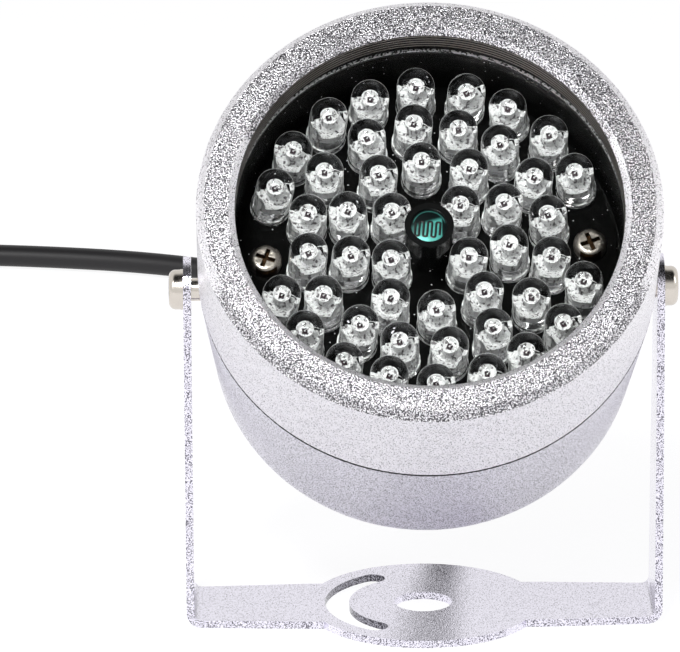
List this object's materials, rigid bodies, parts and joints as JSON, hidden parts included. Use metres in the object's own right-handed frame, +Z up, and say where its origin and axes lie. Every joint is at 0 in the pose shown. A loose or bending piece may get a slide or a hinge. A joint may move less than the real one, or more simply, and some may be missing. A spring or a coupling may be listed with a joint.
{
  "type": "infrared illuminator",
  "caption": "Small round infrared lamp with a glazed front full of clear lamps, tilting in a folded sheet bracket, with a short power lead.",
  "frame": {"origin": "centre of the fixing hole in the bracket's foot, on the foot's underside", "axes": "+Z up out of the foot, +X to the right as one faces the lamp, -Y the way the lamp looks"},
  "size_m": [0.1558, 0.2037, 0.0817],
  "materials": {
    "housing_paint": "silver paint with a fine sand texture",
    "bracket_paint": "pale grey paint with a fine sand texture",
    "clear_glass": "clear flat float glass",
    "black_rubber": "matt",
    "board_mask": "black solder mask on fibreglass board",
    "lamp_epoxy": "water-clear moulded epoxy",
    "black_plastic": "moulded",
    "sensor_ceramic": "coated ceramic",
    "nickel_steel": "nickel plate",
    "white_nylon": "moulded",
    "blue_plastic": "moulded",
    "resistor_lacquer": "dipped lacquer",
    "cord_plastic": "satin flexible sheath",
    "tie_nylon": "moulded"
  },
  "bodies": {
    "bracket": {"bracket": "bracket_paint", "cord": "cord_plastic", "cord_coil": "cord_plastic", "coil_tie": "tie_nylon", "cord_tail": "cord_plastic", "power_socket": "cord_plastic", "socket_sleeve": "nickel_steel", "socket_pin": "nickel_steel"},
    "housing": {"front_ring": "housing_paint", "front_glass": "clear_glass", "glass_gasket": "black_rubber", "rear_shell": "housing_paint", "seam_seal": "black_rubber", "lamp_board": "board_mask", "lamps_outer_upper": "lamp_epoxy", "lamps_outer_lower": "lamp_epoxy", "lamps_third_right": "lamp_epoxy", "lamps_third_left": "lamp_epoxy", "lamps_second_upper": "lamp_epoxy", "lamps_second_lower": "lamp_epoxy", "lamps_inner_upper": "lamp_epoxy", "lamps_inner_lower": "lamp_epoxy", "light_sensor": "sensor_ceramic", "sensor_sleeve": "black_plastic", "board_screw_right": "nickel_steel", "board_screw_left": "nickel_steel", "tilt_screw_right": "nickel_steel", "tilt_screw_left": "nickel_steel", "tilt_washer_right": "nickel_steel", "tilt_washer_left": "nickel_steel", "lead_connector": "white_nylon", "driver_transistor": "black_plastic", "trimmer": "blue_plastic", "resistors": "resistor_lacquer", "input_diode": "black_plastic", "strain_relief": "cord_plastic", "lead_in": "cord_plastic"}
  },
  "joints": [
    {"name": "tilt", "type": "hinge", "parent": "bracket", "child": "housing", "pos_m": [0, 0, 0.0443], "axis": [-1, 0, 0], "range_deg": [-87.3, 47.7]}
  ]
}
